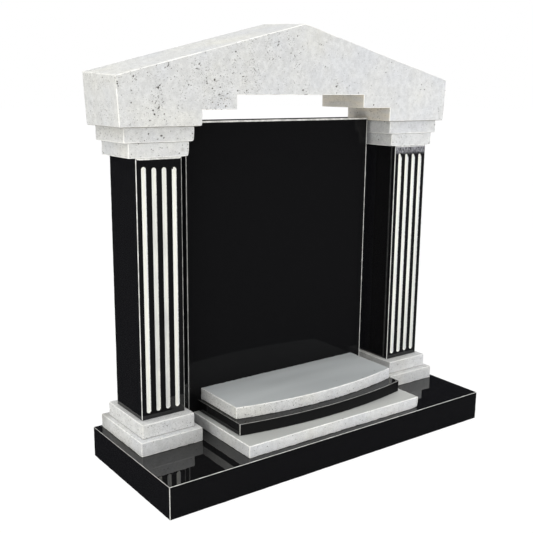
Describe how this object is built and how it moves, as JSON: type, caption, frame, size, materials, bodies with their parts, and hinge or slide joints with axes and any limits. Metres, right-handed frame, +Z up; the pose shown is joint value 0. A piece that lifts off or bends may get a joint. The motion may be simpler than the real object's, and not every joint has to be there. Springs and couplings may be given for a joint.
{
  "type": "headstone",
  "caption": "Portal-shaped headstone: fluted black columns carry a pale pediment round a polished black upright slab, with bowed shelf slabs in front on a black plinth.",
  "frame": {"origin": "on the ground under the middle of the plinth", "axes": "+Z up, -Y out of the front that carries the flutes and shelf slabs, +X to the right seen from the front"},
  "size_m": [1.4256, 0.55, 1.5196],
  "materials": {
    "black_granite": "black granite, mirror polished, with lighter ground arrises and white flutes",
    "pale_stone": "cloudy pale grey travertine, honed, with small dark pores"
  },
  "bodies": {
    "root": {"plinth": "black_granite", "left_pedestal_lower_slab": "pale_stone", "left_pedestal_upper_slab": "pale_stone", "left_column": "black_granite", "left_capital_lower_slab": "pale_stone", "left_capital_upper_slab": "pale_stone", "right_pedestal_lower_slab": "pale_stone", "right_pedestal_upper_slab": "pale_stone", "right_column": "black_granite", "right_capital_lower_slab": "pale_stone", "right_capital_upper_slab": "pale_stone", "pediment": "pale_stone", "stele": "black_granite", "shelf_lower_slab": "pale_stone", "shelf_middle_slab": "black_granite", "shelf_upper_slab": "pale_stone"}
  },
  "joints": []
}
